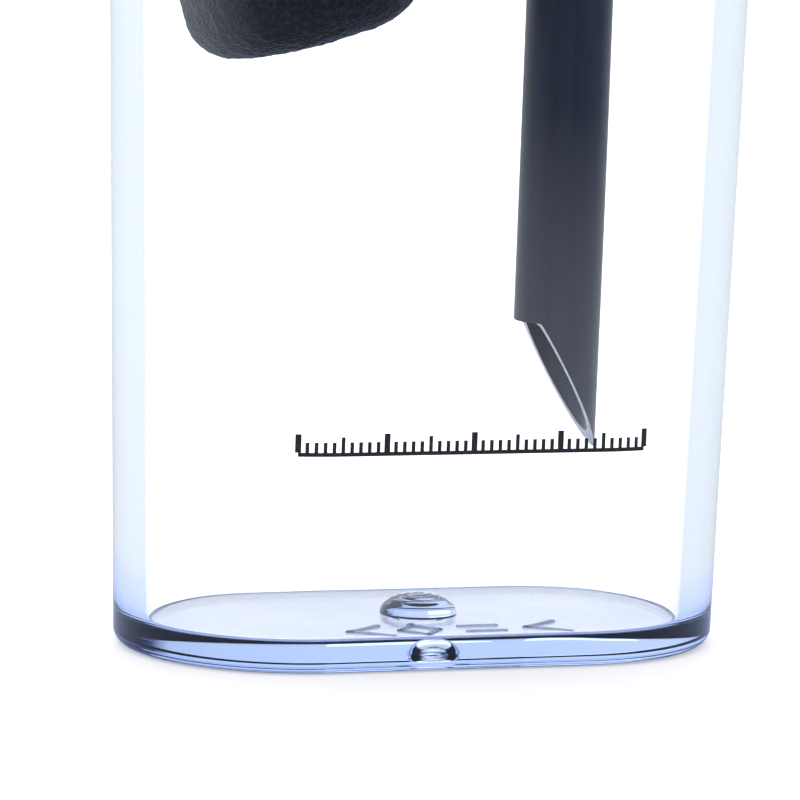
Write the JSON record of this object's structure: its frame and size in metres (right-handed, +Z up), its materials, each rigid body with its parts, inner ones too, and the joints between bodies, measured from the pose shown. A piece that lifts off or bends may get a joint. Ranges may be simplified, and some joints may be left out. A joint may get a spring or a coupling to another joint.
{
  "type": "aquarium carbon dioxide diffuser",
  "caption": "Clear oblong reaction cup with a foam plug and a slant-cut riser tube under a pump head with swivel outlet, gas barb and suction cups.",
  "frame": {"origin": "middle of the cup's underside, on the surface it stands on", "axes": "+Z up, along the cup; +X along the cup's long side, towards the riser tube; +Y towards the aquarium glass, so -Y is the front"},
  "size_m": [0.0484, 0.0448, 0.1434],
  "materials": {
    "clear_styrene": "polished, clear with a faint blue tint",
    "charcoal_plastic": "fine spark texture",
    "slate_tube": "extruded, satin with fine draw lines",
    "slate_fitting": "moulded, satin",
    "black_foam": "open-cell foam with fine pores",
    "clear_silicone": "translucent silicone",
    "black_rubber": "moulded rubber",
    "white_ceramic": "ground ceramic",
    "white_nylon": "moulded nylon",
    "black_ferrite": "ground ferrite",
    "laminated_steel": "stacked laminations",
    "copper_winding": "enamelled wire",
    "stainless": "turned",
    "soft_vinyl": "soft clear vinyl"
  },
  "bodies": {
    "cup": {"reaction_cup": "clear_styrene"},
    "head": {"cup_lid": "charcoal_plastic", "lid_seal": "clear_silicone", "lid_screws": "stainless", "riser_tube": "slate_tube", "riser_grommet": "black_rubber", "foam_spigot": "charcoal_plastic", "diffusing_foam": "black_foam", "pump_base": "charcoal_plastic", "eye_plate": "charcoal_plastic", "lower_bush": "black_rubber", "upper_bush": "black_rubber", "pump_shaft": "white_ceramic", "rotor_can": "charcoal_plastic", "can_seal": "black_rubber", "stator_core": "laminated_steel", "coil_bobbin": "white_nylon", "stator_coil": "copper_winding", "motor_housing": "charcoal_plastic", "cap_seal": "black_rubber", "top_cap": "charcoal_plastic", "housing_screws": "stainless", "gas_barb": "slate_fitting", "gas_pipe": "stainless", "cable_gland": "black_rubber"},
    "rotor": {"impeller": "white_nylon", "rotor_magnet": "black_ferrite"},
    "nozzle": {"outlet_nozzle": "slate_fitting", "nozzle_seal": "black_rubber"},
    "hose_nut": {"barb_nut": "slate_fitting"},
    "strainer": {"intake_strainer": "slate_fitting"},
    "slider": {"flow_slider": "slate_fitting"},
    "bracket": {"suction_bracket": "charcoal_plastic", "suction_cup_left": "soft_vinyl", "suction_cup_right": "soft_vinyl"}
  },
  "joints": [
    {"name": "head_lift", "type": "slide", "parent": "cup", "child": "head", "axis": [0, 0, 1], "range_m": [0, 0.06]},
    {"name": "impeller_spin", "type": "hinge", "parent": "head", "child": "rotor", "pos_m": [-0.0086, 0, 0.09], "axis": [0, 0, 1], "continuous": true},
    {"name": "nozzle_swivel", "type": "hinge", "parent": "head", "child": "nozzle", "pos_m": [0.00975, 0, 0.128], "axis": [0, 0, 1], "continuous": true},
    {"name": "hose_nut_turn", "type": "hinge", "parent": "head", "child": "hose_nut", "pos_m": [-0.0144, -0.0066, 0.13], "axis": [0, 0, 1], "range_deg": [0, 540]},
    {"name": "strainer_pull", "type": "slide", "parent": "head", "child": "strainer", "axis": [0, -1, 0], "range_m": [0, 0.012]},
    {"name": "flow_adjust", "type": "slide", "parent": "head", "child": "slider", "axis": [-1, 0, 0], "range_m": [0, 0.005]},
    {"name": "bracket_slide", "type": "slide", "parent": "head", "child": "bracket", "axis": [0, 0, -1], "range_m": [0, 0.024]}
  ]
}
